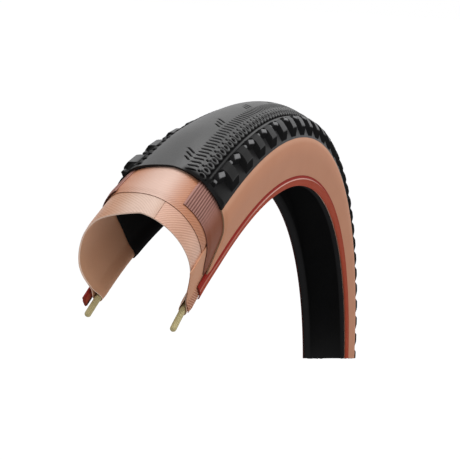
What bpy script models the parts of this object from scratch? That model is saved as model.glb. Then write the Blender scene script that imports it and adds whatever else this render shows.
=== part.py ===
"""A length of folding bicycle tyre, cut open so that each layer of its wall stands clear of the next.

The axle runs along Y through the origin and Z is up.  Right is the side with negative Y.
"""

import math

import bmesh
import bpy
from mathutils import Vector

# Driving sizes, in metres and degrees.
BEAD_RADIUS = 0.3099
SECTION_HEIGHT = 0.0441
CASING_RADIUS = 0.0178
CASING_SWEEP = 102.0
GAP = 0.0003
LINER = 0.00045
PLY = 0.00045
GUARD = 0.00050
WALL = 0.00080
TREAD_CENTRE = 0.0026
CORE_RADIUS = 0.00125
CHAFER = 0.0009
TREAD_ROUND = 1.6

# Where each layer stops across the wall, as a length from the crown along the inside of the casing.
GUARD_TOP = 0.0110
KNOB_TOP = 0.0137
KNOB_FOOT = 0.0183
TREAD_EDGE = 0.0228
BREAKER_EDGE = 0.0283
SEAM = 0.0056
BEAD_TAPER = 0.0050

# The angle round the wheel at which each layer is cut back:
# at the crown, at the right shoulder and bead, and at the left shoulder and bead.
TREAD_CUT = (95.8, 96.2, 96.2, 95.6, 95.6)
WALL_CUT = (95.8, 96.2, 97.9, 95.8, 97.5)
GUARD_CUT = (98.6, 98.75, 99.3, 98.0, 98.6)
BREAKER_CUT = (98.97, 99.65, 99.65, 98.0, 98.6)
CASING_CUT = (101.1, 101.6, 101.3, 101.4, 102.4)
BEAD_STRIP_CUT = (101.3, 101.6, 102.1, 98.5, 101.0)
LINER_CUT = (98.4, 97.6, 96.8, 96.9, 96.2)
CHAFER_CUT = (100.3, 100.3, 100.3, 103.2, 103.2)
CORE_CUT = (104.0, 104.0, 104.0, 104.0, 104.0)

# Shoulder knobs: how many round the whole wheel, and the angles of the foot of one and of the gap before it.
KNOB_COUNT = 108
KNOB_AT = 93.0
KNOB_PHASE = 95.19
# Angles either side of the foot at which a knob begins and ends, down at its base and up on its top,
# and its height, each at the lines KNOB_TOP, KNOB_FOOT and TREAD_EDGE.
KNOB_BASE = ((-0.55, 2.13), (-1.08, 1.65), (-0.95, 0.80))
KNOB_CREST = ((-0.42, 2.05), (-0.45, 0.81), (-0.85, 0.69))
KNOB_HEIGHT = (0.00175, 0.00295, 0.00025)

# The far end is one flat saw cut: its distance from the axle, and how far it rises and skews.
FAR_DISTANCE = 0.20205
FAR_RISE = 58.4
FAR_SKEW = 9.67

# The cut end has sprung open on the left side: how far at the shoulder and at the bead,
# over what width it begins, and between which angles.
FLARE = 0.0051
FLARE_BEAD = 0.0030
FLARE_WIDTH = 0.0120
FLARE_START = 80.0
FLARE_END = 100.0

# Offsets of the layers from the inside of the casing, one on top of another.
BODY_IN = LINER + GAP
BODY_OUT = BODY_IN + PLY
TURN_IN = BODY_OUT + GAP
TURN_OUT = TURN_IN + PLY
BREAKER_IN = TURN_OUT + GAP
BREAKER_OUT = BREAKER_IN + PLY
GUARD_IN = BREAKER_OUT + GAP
GUARD_OUT = GUARD_IN + GUARD
WALL_IN = GUARD_OUT + GAP
WALL_OUT = WALL_IN + WALL
TREAD_OUT = BREAKER_OUT + GAP + TREAD_CENTRE

SWEEP = math.radians(CASING_SWEEP)
CROWN_RADIUS = BEAD_RADIUS + SECTION_HEIGHT
CENTRE = CROWN_RADIUS - TREAD_OUT - CASING_RADIUS
ARC_END = CASING_RADIUS * SWEEP
CORE_OFFSET = (BODY_OUT + TURN_IN) / 2
LOOP_IN = CORE_RADIUS + GAP
LOOP_OUT = LOOP_IN + PLY
STRIP_IN = LOOP_OUT + GAP
STRIP_OUT = STRIP_IN + PLY
CHAFER_IN = STRIP_OUT + GAP
CHAFER_OUT = CHAFER_IN + CHAFER
CORE_R = BEAD_RADIUS + STRIP_OUT
CORE_DROP = (CENTRE + (CASING_RADIUS + CORE_OFFSET) * math.cos(SWEEP) - CORE_R) / math.sin(SWEEP)
CORE_AT = ARC_END + CORE_DROP
TAPER_AT = CORE_AT - BEAD_TAPER
BULGE = LOOP_IN - (TURN_IN - CORE_OFFSET)
GUARD_EDGE = TAPER_AT - GAP
WALL_EDGE = TAPER_AT + BEAD_TAPER * 0.15
KNOB_PITCH = 360 / KNOB_COUNT

# Every layer is bent at the same lengths from the crown.
SPACING = 0.0002
STATIONS = sorted((0.0, GUARD_TOP * 0.48, GUARD_TOP - GAP, KNOB_FOOT, TREAD_EDGE, BREAKER_EDGE,
                   ARC_END, TAPER_AT))


def smooth(t):
    """Rise from 0 to 1 without a corner."""
    t = min(max(t, 0.0), 1.0)
    return t * t * (3 - 2 * t)


def section(s, offset):
    """Radius and side of a point on the right hand half of the section, counted from the crown."""
    angle = min(s, ARC_END) / CASING_RADIUS
    past = max(s - ARC_END, 0.0)
    reach = CASING_RADIUS + offset
    r = CENTRE + reach * math.cos(angle) - past * math.sin(angle)
    y = reach * math.sin(angle) + past * math.cos(angle)
    return r, y


def across(s, offset):
    """The same for either half: positive lengths are the left side."""
    r, y = section(abs(s), offset)
    return r, math.copysign(y, s)


def round_core(turn, radius, side):
    """A point round the bead core: turn 0 faces out of the tyre, 90 faces the axle, 180 faces in."""
    r, y = section(CORE_AT, CORE_OFFSET)
    a = math.radians(turn)
    out = radius * math.cos(a)
    down = radius * math.sin(a)
    r += out * math.cos(SWEEP) - down * math.sin(SWEEP)
    y += out * math.sin(SWEEP) + down * math.cos(SWEEP)
    return r, side * y


def spread(s):
    """How far the layers part to make room for the bead core."""
    return BULGE * smooth((s - TAPER_AT) / BEAD_TAPER)


def near_angle(cut, r, y):
    """Angle of the near cut of a layer at one point of its section."""
    crown, right, right_bead, left, left_bead = cut
    side = left if y > 0 else right
    bead = left_bead if y > 0 else right_bead
    reach = min(abs(y) / (CASING_RADIUS + TURN_OUT), 1.0)
    fall = smooth((CENTRE - r) / CASING_RADIUS + 0.5)
    return crown + (side - crown) * reach + (bead - side) * fall


def far_angle(r, y):
    """Angle at which a point of the section meets the flat cut of the far end."""
    skew = math.radians(FAR_SKEW)
    reach = (FAR_DISTANCE - y * math.sin(skew)) / (r * math.cos(skew))
    return FAR_RISE - math.degrees(math.acos(reach))


def place(r, y, angle):
    """A point of the section carried round the wheel, with the left side opened at the near end."""
    opened = smooth((angle - FLARE_START) / (FLARE_END - FLARE_START))
    amount = FLARE_BEAD + (FLARE - FLARE_BEAD) * smooth((r - BEAD_RADIUS) / CASING_RADIUS)
    y += amount * opened * smooth(y / FLARE_WIDTH)
    a = math.radians(angle)
    return r * math.cos(a), y, r * math.sin(a)


def ring_angles(profile, cut):
    """Angles of the full rings between the two cuts, the first one the same for every layer."""
    start = far_angle(BEAD_RADIUS, -CASING_RADIUS - WALL_OUT) + 0.5
    stop = min(near_angle(cut, r, y) for r, y in profile) - 0.4
    first = math.ceil((start - KNOB_PHASE) / KNOB_PITCH)
    last = math.floor((stop - KNOB_PHASE) / KNOB_PITCH)
    return [KNOB_PHASE + KNOB_PITCH * k for k in range(first, last + 1)]


def sweep(profile, caps, cut):
    """Carry a closed profile round the wheel between its two cuts; returns the mesh, its full rings of points
    and their angles."""
    bm = bmesh.new()
    middle = ring_angles(profile, cut)
    far = [far_angle(r, y) for r, y in profile]
    near = [near_angle(cut, r, y) for r, y in profile]
    turns = [[a + (middle[0] - a) * t for a in far] for t in (0.0, 0.5)]
    lead = len(turns)
    turns += [[angle] * len(profile) for angle in middle]
    turns += [[middle[-1] + (a - middle[-1]) * t for a in near] for t in (0.5, 1.0)]
    rings = []
    for angles in turns:
        rings.append([bm.verts.new(place(r, y, a)) for (r, y), a in zip(profile, angles)])
    count = len(profile)
    for low, high in zip(rings, rings[1:]):
        for i in range(count):
            j = (i + 1) % count
            bm.faces.new((low[i], low[j], high[j], high[i]))
    for cap in caps:
        bm.faces.new([rings[0][i] for i in reversed(cap)])
        bm.faces.new([rings[-1][i] for i in cap])
    return bm, rings[lead:lead + len(middle)], middle


def finish(name, bm, colour, roughness):
    """Turn a mesh into a named object with its own material."""
    bmesh.ops.recalc_face_normals(bm, faces=bm.faces)
    mesh = bpy.data.meshes.new(name)
    bm.to_mesh(mesh)
    bm.free()
    for face in mesh.polygons:
        face.use_smooth = True
    mesh.set_sharp_from_angle(angle=math.radians(35))
    material = bpy.data.materials.new(name)
    material.use_nodes = True
    shader = material.node_tree.nodes["Principled BSDF"]
    shader.inputs["Base Color"].default_value = (*colour, 1.0)
    shader.inputs["Roughness"].default_value = roughness
    mesh.materials.append(material)
    thing = bpy.data.objects.new(name, mesh)
    bpy.context.scene.collection.objects.link(thing)
    return thing


def band(outer, inner):
    """A thin strip of the section from its two faces, with the quads that close its cut ends."""
    n = len(outer)
    profile = list(outer) + list(reversed(inner))
    caps = [(i, i + 1, 2 * n - 2 - i, 2 * n - 1 - i) for i in range(n - 1)]
    return profile, caps


def stations(start, stop):
    """Lengths from start to stop with the shared stations between them, so that layers lie flat."""
    shared = [-s for s in reversed(STATIONS)] + STATIONS
    low, high = sorted((start, stop))
    between = [s for s in shared if low + SPACING < s < high - SPACING]
    result = [low]
    for s in between:
        if s - result[-1] > SPACING:
            result.append(s)
    return result + [high]


def make_layer(name, lengths, low, high, cut, colour, roughness):
    """A plain layer of even thickness."""
    outer = [across(s, high) for s in lengths]
    inner = [across(s, low) for s in lengths]
    profile, caps = band(outer, inner)
    bm, rings, middle = sweep(profile, caps, cut)
    return finish(name, bm, colour, roughness)


def tread_level(s):
    """Offset of the outside of the tread between its knobs."""
    return WALL_OUT + (TREAD_OUT - WALL_OUT) * math.cos(math.pi / 2 * s / TREAD_EDGE) ** TREAD_ROUND


def add_knob(bm, lengths, lows, highs, angle):
    """Raise one knob: cut the outline of its foot into three lines along the tread, then lift it."""
    feet = []
    crest = []
    for i, s in enumerate(lengths):
        pair = [lows[i]]
        for turn in KNOB_BASE[i]:
            vert = bmesh.utils.edge_split(bm.edges.get((pair[-1], highs[i])), pair[-1], 0.5)[1]
            vert.co = place(*across(s, tread_level(s)), angle + turn)
            pair.append(vert)
        feet.append(pair[1:])
        crest += [place(*across(s, tread_level(s) + KNOB_HEIGHT[i]), angle + turn) for turn in KNOB_CREST[i]]
    faces = []
    for (a, b), (c, d) in zip(feet, feet[1:]):
        for one, two in ((a, c), (b, d)):
            bmesh.utils.face_split(next(face for face in one.link_faces if two in face.verts), one, two)
        faces.append(next(face for face in a.link_faces if {b, c, d} <= set(face.verts)))
    foot = [vert.co.copy() for pair in feet for vert in pair]
    made = bmesh.ops.extrude_face_region(bm, geom=faces)["geom"]
    bmesh.ops.delete(bm, geom=faces, context="FACES")
    for vert in [item for item in made if isinstance(item, bmesh.types.BMVert)]:
        nearest = min(range(len(foot)), key=lambda i: (foot[i] - vert.co).length)
        vert.co = crest[nearest]


def make_tread():
    """The tread: slick in the middle, thicker where it lies on the casing, with a row of knobs each side."""
    half = [0.0, GUARD_TOP * 0.48, GUARD_TOP - 2 * GAP, GUARD_TOP - GAP, KNOB_TOP, KNOB_FOOT, TREAD_EDGE]
    lengths = [-s for s in reversed(half[1:])] + half
    outer = [across(s, tread_level(s)) for s in lengths]
    inner = [across(s, WALL_IN if abs(s) > GUARD_TOP - 1.5 * GAP else GUARD_IN) for s in lengths]
    profile, caps = band(outer, inner)
    bm, rings, middle = sweep(profile, caps, TREAD_CUT)
    for low, high, top in zip(rings, rings[1:], middle[1:]):
        for side in (-1, 1):
            lines = [side * s for s in (KNOB_TOP, KNOB_FOOT, TREAD_EDGE)]
            at = [lengths.index(s) for s in lines]
            add_knob(bm, lines, [low[i] for i in at], [high[i] for i in at], top - KNOB_PHASE + KNOB_AT)
    return finish("tread", bm, (0.035, 0.036, 0.038), 0.6)


def make_casing():
    """One ply from bead to bead, folded round both bead cores and back up to meet under the tread."""
    inside = stations(-TAPER_AT, TAPER_AT)[1:-1]
    foot = [TAPER_AT + BEAD_TAPER * t for t in (0.0, 0.5, 1.0)]
    path = [-s for s in stations(SEAM + GAP, TAPER_AT)[:-1]]
    outer = [across(s, TURN_OUT) for s in path]
    inner = [across(s, TURN_IN) for s in path]
    for s in foot:
        outer.append(across(-s, TURN_OUT + spread(s)))
        inner.append(across(-s, TURN_IN + spread(s)))
    for turn in range(45, 180, 45):
        outer.append(round_core(turn, LOOP_OUT, -1))
        inner.append(round_core(turn, LOOP_IN, -1))
    for s in reversed(foot):
        outer.append(across(-s, BODY_IN - spread(s)))
        inner.append(across(-s, BODY_OUT - spread(s)))
    for s in inside:
        outer.append(across(s, BODY_IN))
        inner.append(across(s, BODY_OUT))
    for s in foot:
        outer.append(across(s, BODY_IN - spread(s)))
        inner.append(across(s, BODY_OUT - spread(s)))
    for turn in range(135, 0, -45):
        outer.append(round_core(turn, LOOP_OUT, 1))
        inner.append(round_core(turn, LOOP_IN, 1))
    for s in reversed(foot):
        outer.append(across(s, TURN_OUT + spread(s)))
        inner.append(across(s, TURN_IN + spread(s)))
    left = stations(-SEAM, TAPER_AT)
    for s in reversed(left[:-1]):
        outer.append(across(s, TURN_OUT))
        inner.append(across(s, TURN_IN))
    profile, caps = band(outer, inner)
    bm, rings, middle = sweep(profile, caps, CASING_CUT)
    return finish("casing_ply", bm, (0.55, 0.36, 0.26), 0.55)


def make_liner():
    """Airtight rubber skin on the inside of the casing, carried round the toe of each bead."""
    foot = [TAPER_AT + BEAD_TAPER * t for t in (0.0, 0.5, 1.0)]
    toe = (52, 79, 106, 128, 150)
    outer = [round_core(turn, LOOP_OUT + GAP, -1) for turn in toe]
    inner = [round_core(turn, LOOP_OUT + GAP + LINER, -1) for turn in toe]
    for s in [-s for s in reversed(foot)] + stations(-TAPER_AT, TAPER_AT)[1:-1] + foot:
        outer.append(across(s, LINER - spread(abs(s))))
        inner.append(across(s, -spread(abs(s))))
    outer += [round_core(turn, LOOP_OUT + GAP, 1) for turn in reversed(toe)]
    inner += [round_core(turn, LOOP_OUT + GAP + LINER, 1) for turn in reversed(toe)]
    profile, caps = band(outer, inner)
    bm, rings, middle = sweep(profile, caps, LINER_CUT)
    return finish("inner_liner", bm, (0.012, 0.012, 0.012), 0.5)


def make_bead_strip(name, side):
    """Woven strip that starts level with the breaker's edge and ends at the bead."""
    lengths = stations(BREAKER_EDGE + GAP, TAPER_AT)
    lengths += [TAPER_AT + BEAD_TAPER * t for t in (0.5, 1.0)]
    outer = [across(side * s, BREAKER_OUT + spread(s)) for s in lengths]
    inner = [across(side * s, BREAKER_IN + spread(s)) for s in lengths]
    outer.append(round_core(24, STRIP_OUT, side))
    inner.append(round_core(24, STRIP_IN, side))
    profile, caps = band(outer, inner)
    bm, rings, middle = sweep(profile, caps, BEAD_STRIP_CUT)
    return finish(name, bm, (0.50, 0.32, 0.22), 0.6)


def make_chafer(name, side):
    """Raised rubber strip on the outside of the bead, where the rim flange rubs, down to the toe."""
    outer = [across(side * (WALL_EDGE + GAP), WALL_OUT)]
    inner = [across(side * (WALL_EDGE + GAP), GUARD_IN + spread(WALL_EDGE + GAP))]
    for t in (0.5, 1.0):
        s = TAPER_AT + BEAD_TAPER * t
        outer.append(across(side * s, CORE_OFFSET + CHAFER_OUT))
        inner.append(across(side * s, GUARD_IN + spread(s)))
    for turn in (20, 40):
        outer.append(round_core(turn, CHAFER_OUT, side))
        inner.append(round_core(turn, CHAFER_IN, side))
    profile, caps = band(outer, inner)
    bm, rings, middle = sweep(profile, caps, CHAFER_CUT)
    return finish(name, bm, (0.28, 0.045, 0.03), 0.4)


def make_core(name, side):
    """Bundle of bead fibres with a rounded near end."""
    profile = [round_core(turn, CORE_RADIUS, side) for turn in range(0, 360, 45)]
    count = len(profile)
    bm, rings, middle = sweep(profile, [tuple(range(count))], CORE_CUT)
    bm.faces.ensure_lookup_table()
    tip = bm.faces[-1]
    start = tip.calc_center_median()
    along = Vector(place(*profile[0], CORE_CUT[0])) - Vector(place(*profile[0], CORE_CUT[0] - 0.2))
    raised = bmesh.ops.extrude_discrete_faces(bm, faces=[tip])["faces"]
    for vert in raised[0].verts:
        vert.co = start + (vert.co - start) * 0.6 + along.normalized() * CORE_RADIUS * 0.7
    return finish(name, bm, (0.52, 0.45, 0.20), 0.55)


def build():
    """Clear the scene and make every piece."""
    for thing in list(bpy.data.objects):
        bpy.data.objects.remove(thing, do_unlink=True)
    make_tread()
    make_layer("breaker_ply", stations(-BREAKER_EDGE, BREAKER_EDGE), BREAKER_IN, BREAKER_OUT,
               BREAKER_CUT, (0.60, 0.40, 0.30), 0.5)
    make_casing()
    make_liner()
    for side, tag in ((-1, "right"), (1, "left")):
        guard = [side * s for s in stations(GUARD_TOP, GUARD_EDGE)]
        make_layer("guard_strip_" + tag, guard, GUARD_IN, GUARD_OUT, GUARD_CUT, (0.26, 0.15, 0.11), 0.55)
        wall = [side * s for s in stations(TREAD_EDGE + GAP, WALL_EDGE)]
        make_layer("sidewall_" + tag, wall, WALL_IN, WALL_OUT, WALL_CUT, (0.45, 0.24, 0.15), 0.5)
        make_bead_strip("bead_strip_" + tag, side)
        make_chafer("chafer_" + tag, side)
        make_core("bead_core_" + tag, side)


build()
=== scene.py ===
import math

import bpy
import numpy as np
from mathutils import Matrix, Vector


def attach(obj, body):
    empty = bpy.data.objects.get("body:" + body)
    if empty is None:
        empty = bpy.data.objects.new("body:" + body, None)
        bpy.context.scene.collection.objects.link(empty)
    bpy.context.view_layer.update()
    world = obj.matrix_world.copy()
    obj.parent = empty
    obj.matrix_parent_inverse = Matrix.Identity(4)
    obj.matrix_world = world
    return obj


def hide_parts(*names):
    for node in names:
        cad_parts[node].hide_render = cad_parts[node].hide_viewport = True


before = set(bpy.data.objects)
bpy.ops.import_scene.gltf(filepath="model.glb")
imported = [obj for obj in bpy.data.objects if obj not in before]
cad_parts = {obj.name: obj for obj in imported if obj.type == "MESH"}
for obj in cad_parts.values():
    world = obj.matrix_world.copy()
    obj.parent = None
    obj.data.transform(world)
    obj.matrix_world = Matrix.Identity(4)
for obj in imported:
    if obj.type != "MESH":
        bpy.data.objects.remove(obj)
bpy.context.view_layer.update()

# Sizes of the tyre in metres, the same as in the part's source. The wheel's axle is Y through the
# origin, angles run from +X towards +Z in degrees, and a length from the crown is positive on the left.
MM = 0.001
BEAD_RADIUS = 0.3099
SECTION_HEIGHT = 0.0441
CASING_RADIUS = 0.0178
CASING_SWEEP = 102.0
GAP = 0.0003
LINER = 0.00045
PLY = 0.00045
GUARD = 0.00050
WALL = 0.00080
TREAD_CENTRE = 0.0026
TREAD_ROUND = 1.6
CORE_RADIUS = 0.00125
CHAFER = 0.0009
GUARD_TOP = 0.0110
TREAD_EDGE = 0.0228
BREAKER_EDGE = 0.0283
SEAM = 0.0056
BEAD_TAPER = 0.0050

# Near cut of each layer: angle at the crown, right shoulder, right bead, left shoulder and left bead,
# and where it is given, how far below the middle of the section the right side's run to the bead begins.
# Elsewhere that is EARLY_FALL, in casing radii. UNDERCUT sets the tread's underside back.
TREAD_CUT = (95.5, 96.1, 96.2, 95.4, 95.6)
WALL_CUT = (95.8, 95.95, 100.4, 95.8, 98.5, 0.0040)
GUARD_CUT = (98.6, 98.8, 99.1, 98.0, 98.6)
BREAKER_CUT = (98.97, 99.65, 99.65, 98.0, 98.6)
CASING_CUT = (100.8, 101.5, 102.5, 101.7, 102.5, 0.0050)
BEAD_STRIP_CUT = (101.3, 101.6, 102.1, 98.5, 101.0)
LINER_CUT = (98.4, 97.6, 96.8, 96.9, 96.2)
CHAFER_CUT = (100.3, 100.3, 100.3, 103.2, 103.2)
CORE_CUT = (104.0, 104.0, 104.0, 104.0, 104.0)
EARLY_FALL = -0.5
UNDERCUT = 0.15

# How far each layer runs round the bead, in degrees from facing out.
STRIP_END = {"right": 22.0, "left": 4.0}
CHAFER_END = {"right": 34.0, "left": 5.0}
LINER_END = {"right": 46.0, "left": 8.0}
LINER_START = 172.0
BEND_START = 2.0

# Flat oblique cut of the far end.
FAR_DISTANCE = 0.20205
FAR_RISE = 58.4
FAR_SKEW = 9.67

# How the left side opens towards the near end.
FLARE = 0.0051
FLARE_BEAD = 0.0030
FLARE_WIDTH = 0.0120
FLARE_START = 80.0
FLARE_END = 100.0

# Levels of the layers above the inside of the tyre.
BODY_IN = LINER + GAP
BODY_OUT = BODY_IN + PLY
TURN_IN = BODY_OUT + GAP
TURN_OUT = TURN_IN + PLY
BREAKER_IN = TURN_OUT + GAP
BREAKER_OUT = BREAKER_IN + PLY
GUARD_IN = BREAKER_OUT + GAP
GUARD_OUT = GUARD_IN + GUARD
WALL_IN = GUARD_OUT + GAP
WALL_OUT = WALL_IN + WALL
TREAD_OUT = BREAKER_OUT + GAP + TREAD_CENTRE

SWEEP = math.radians(CASING_SWEEP)
CROWN_RADIUS = BEAD_RADIUS + SECTION_HEIGHT
CENTRE = CROWN_RADIUS - TREAD_OUT - CASING_RADIUS
ARC_END = CASING_RADIUS * SWEEP
CORE_OFFSET = (BODY_OUT + TURN_IN) / 2
LOOP_IN = CORE_RADIUS + GAP
LOOP_OUT = LOOP_IN + PLY
STRIP_IN = LOOP_OUT + GAP
STRIP_OUT = STRIP_IN + PLY
CHAFER_IN = STRIP_OUT + GAP
CHAFER_OUT = CHAFER_IN + CHAFER
CORE_R = BEAD_RADIUS + STRIP_OUT
CORE_DROP = (CENTRE + (CASING_RADIUS + CORE_OFFSET) * math.cos(SWEEP) - CORE_R) / math.sin(SWEEP)
CORE_AT = ARC_END + CORE_DROP
TAPER_AT = CORE_AT - BEAD_TAPER
BULGE = LOOP_IN - (TURN_IN - CORE_OFFSET)
GUARD_EDGE = TAPER_AT - GAP
WALL_EDGE = TAPER_AT + BEAD_TAPER * 0.15
DEGREE = math.radians(1) * CROWN_RADIUS

# Pressed layers lie almost on one another, this far apart, and thin out towards their cut edges:
# what share of the thickness is left at the edge, and over what length it builds up.
SNUG = 0.00004
EDGE_SHARE = 0.3
EDGE_LENGTH = 0.0040
CHAFER_EDGE_LENGTH = 0.030
BREAKER_SIDE_LENGTH = 0.0020
GUARD_SIDE_LENGTH = 0.0012
PRESS_LENGTH = 0.003

# Ribs of the guard strip, from its upper edge until they fade out down the side.
RIB_PITCH = 0.00092
RIB_WIDTH = 0.00024
RIB_DEPTH = 0.00016
RIB_START = GUARD_TOP + 0.95 * RIB_PITCH
RIB_FADE_AT = 0.0175
RIB_FADE = 0.0055
RIB_MESH_END = 0.0245
PLAIN_MESH_START = 0.0255

# Ridge along the chafer and the pale line on it, a painted highlight, by length from the chafer's upper edge,
# its thin toe, and the length over which it builds up below that edge.
CHAFER_RIDGE_AT = 0.0017
CHAFER_RIDGE_WIDTH = 0.0004
CHAFER_RIDGE_HEIGHT = 0.00035
CHAFER_LINE_AT = 0.00165
CHAFER_LINE_WIDTH = 0.00022
CHAFER_TOE_SHARE = 0.6
CHAFER_TOE = 16.0
CHAFER_BUILD = BEAD_TAPER * 0.5

# Rounded near end of the bead core: its rings as shares of the radius.
CORE_SIDES = 24
CORE_TIP = np.array([0.08, 0.35, 0.62, 0.82, 0.95])
CORE_TIP_LENGTH = CORE_RADIUS * 0.9

# Shoulder knobs: one every KNOB_PITCH degrees, with one of them at KNOB_AT; KNOB_STEP is the length of a
# degree there. Levels are above the inside of the tyre.
KNOB_PITCH = 360 / 108
KNOB_AT = 93.0
KNOB_STEP = math.radians(1) * (CENTRE + CASING_RADIUS * 0.95)
KNOB_FLOOR = 0.0047
KNOB_LOW = 0.0070
KNOB_TOP = 0.0076
KNOB_CLIMB_AT = 0.0138
KNOB_CLIMB = 0.0020
KNOB_LIFT_LEFT = 0.0005
KNOB_FADE = 1.3

# A knob's forms in millimetres: along the tyre from the middle of its foot, positive towards the near end,
# and across from the crown. A run is the length over which a face climbs from the ground to the top.
PLANK_FAR = -3.7
PLANK_FAR_RUN = 0.8
PLANK_FAR_TAPER = 0.53
PLANK_FAR_TAPER_AT = 18.4
PLANK_NEAR = 6.3
PLANK_NEAR_RUN = 1.3
PLANK_NEAR_TAPER = 0.6
PLANK_NEAR_TAPER_AT = 18.6
PLANK_CROWN = 13.5
PLANK_CROWN_RUN = 0.4
PLANK_SLOPE_LEFT = 2.2
PLANK_FOOT = 21.9
PLANK_FOOT_RUN = 3.5
PLANK_SHARE = 0.94

# The four faces of the step in front of a knob: a point of the top's edge, the way up and its run.
STEP_FACES = (
    ((12.2, 15.0), (-1.25, 2.5), 1.4),
    ((9.7, 13.75), (1.0, 3.95), 1.6),
    ((5.7, 14.75), (1.15, -2.25), 2.5),
    ((8.0, 15.9), (-0.9, -4.2), 5.5),
)
STEP_LOWER_LEFT = 0.55
BAR_FAR = -7.1
BAR_NEAR = -4.5
BAR_CROWN = 14.0
BAR_FOOT = 15.9
BAR_RUN = 0.4
BAR_CROWN_RUN = 0.3
BAR_FOOT_RUN = 0.6
BAR_SHARE = 0.6

# Shares of a form's height: where its flat top begins and how softly, and how soon it shows above the ground.
TOP_EDGE = (0.85, 0.10)
BAR_TOP_EDGE = (0.80, 0.15)
STEEP_EDGE = 0.05
PLANK_EDGE = 0.2
GROUND_EDGE = 0.1

# Painted light on the shoulder, how pale: a start, and what is added further back, where the tyre turns away.
PLANK_PALE = 0.08
PLANK_PALE_BACK = 0.55
PLANK_PALE_LEFT = 0.8
GROUND_PALE = 0.04
GROUND_PALE_BACK = 0.40
RIDGE_PALE = 0.05
BACK_FROM = 92.0
BACK_OVER = 20.0

# The finer pattern of the crown, over twice the pitch of the knobs. Sizes are along the tyre and across it,
# and a rim is where an oval ends and how softly, as shares of its size.
PATTERN_PITCH = 2 * KNOB_PITCH * DEGREE
PATTERN_AT = 94.96
PATTERN_DEPTH = 0.0007
DASHES_PER_PITCH = 12
DASH_SPACING = PATTERN_PITCH / DASHES_PER_PITCH
DASH_FROM = (0.00010, 0.00500)
DASH_TO = (0.00215, 0.00750)
DASH_MIDDLE = 0.00117
DASH_REACH = 0.00066
DASH_SIDE = 0.00026
SLIT_LENGTHS = (0.0025, 0.0030, 0.0035)
SLIT_FOOT = 0.00395
SLIT_LEAN = 1.28
SLIT_FOOT_END = 0.00030
SLIT_TOP_END = 0.00025
SLIT_REACH = 0.00046
SLIT_SIDE = 0.00022
SLITS_MIDDLE = 0.006
RINGS_PER_PITCH = 8
RING_SPACING = PATTERN_PITCH / RINGS_PER_PITCH
RING_ROW = 0.0106
RING_SIZE = (0.00218, 0.00165)
RING_RIM = (1.1, 0.2)
RING_HEIGHT = 0.00035
HOLE_SIZE = (0.00105, 0.00078)
HOLE_RIM = (1.25, 0.4)
DOT_ROW = 0.00886
DOT_AT = 0.0018
DOT_SIZE = (0.00085, 0.00046)
DOT_RIM = (1.25, 0.5)
RING_FIELD = (0.0092, 0.0129)
RING_FIELD_EDGE = 0.0004
RING_FIELD_DEPTH = 0.75

# The ridge between crown and shoulder, the lower shoulder below it and a crease on its crown side.
RIDGE_AT = 0.01335
RIDGE_WIDTH = 0.00030
RIDGE_HEIGHT = 0.00014
RIDGE_PALE_WIDTH = 0.00025
SHOULDER = (RIDGE_AT + 0.0002, TREAD_EDGE + 0.0001)
SHOULDER_START = 0.0005
SHOULDER_FOOT = 0.0006
SHOULDER_FINISH_AT = RIDGE_AT + 0.0001
CREASE_AT = RIDGE_AT - 0.00065
CREASE_WIDTH = 0.00022
CREASE_DEPTH = 0.20

# Painted shade where the tread is darker: along the left ring field, its front and the ridge near the front.
LEFT_BAND = (0.0078, 0.0132)
LEFT_BAND_START = 0.0016
LEFT_BAND_DARK = 0.75
LEFT_RING_DARK = 0.50
FRONT_DARK = 0.75
FRONT_DARK_FROM = 0.1
FRONT_DARK_OVER = 1.0
FRONT_DARK_AT = 0.002
FRONT_DARK_EDGE = 0.004
RIDGE_DARK = 0.15
RIDGE_DARK_FRONT = 0.45
RIDGE_DARK_FROM = 84.0
RIDGE_DARK_OVER = 8.0
RIDGE_DARK_WIDTH = 0.0009

# How the tread runs out at its front: it drops, which carries the pattern forward, and the pattern fades.
FRONT_DROP = 0.0016
FRONT_LENGTH = 0.0450
FRONT_SHIFT = 420.0
PATTERN_FADE_FROM = 0.10
PATTERN_FADE = 0.5

# Columns and rows of the tread's mesh: lengths from the crown, and the steps between rows, each with the
# angle as far as which it is used. GUARD_STEP is how wide the underside's step over the guard's edge is.
# Edges over TREAD_SHARP degrees are sharp.
CROWN_COLUMNS = {"right": (0.0003, 64), "left": (0.0043, 42)}
CROWN_MESH_END = 0.0133
SLICK_COLUMNS = (0.0010, 0.0040, 3)
RIDGE_COLUMNS = (0.0135, 0.01365)
SHOULDER_MESH_START = 0.0138
SHOULDER_COLUMNS = {"right": 36, "left": 30}
UNDER_COLUMNS = (5, 7)
GUARD_STEP_AT = GUARD_TOP - 1.5 * GAP
GUARD_STEP = 0.0004
TREAD_SHARP = 42.0
LAST_ROW = 6.0
TREAD_ROWS = ((86.0, 0.034), (76.0, 0.050), (58.0, 0.075), (30.0, 0.10), (LAST_ROW, 0.14))

# Meshes of the layers: where the even rows end and the two cuts begin, how many points the profiles have, the
# stretch down to the core that several of them share, and the steps of the casing's fold in degrees. Edges
# over SHARP degrees are sharp, where a layer has no angle of its own.
HOLD_NEAR = 0.6
HOLD_FAR = 12.5
FAR_STEP = 1.5
POINTS = {"breaker": 100, "ribs": 140, "guard": 14, "wall": 36, "casing right": 44, "casing inside": 120,
          "casing left": 56, "foot": 9, "liner": 90, "liner toe": 16, "strip": 22, "strip toe": 4,
          "chafer": 30, "chafer toe": 12}
FOOT = np.linspace(TAPER_AT, CORE_AT, POINTS["foot"])[1:]
FOLD_STEP = 15.0
SHARP = 35.0
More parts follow.
